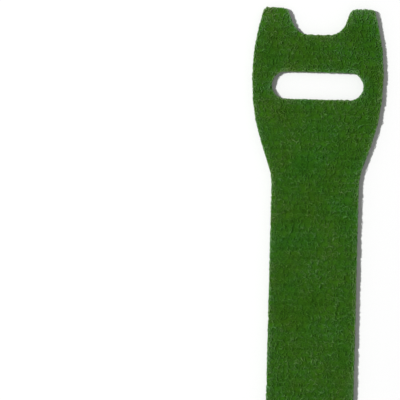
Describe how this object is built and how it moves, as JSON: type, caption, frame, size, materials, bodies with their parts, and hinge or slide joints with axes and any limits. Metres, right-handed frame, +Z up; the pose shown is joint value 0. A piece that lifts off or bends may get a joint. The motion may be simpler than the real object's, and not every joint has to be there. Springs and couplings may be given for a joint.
{
  "type": "hook and loop cable tie",
  "caption": "Flat reusable strap with loop pile on one face, hooks on the other, a slotted and notched head, and a tapered tail.",
  "frame": {"origin": "under the middle of the tie, at the height of the hook tips that it rests on", "axes": "+Y along the strap towards the slotted head, +Z up out of the loop face, +X across the strap"},
  "size_m": [0.0192, 0.2032, 0.0016],
  "materials": {
    "green_nylon": "matte"
  },
  "bodies": {
    "root": {"cable_tie": "green_nylon"}
  },
  "joints": []
}
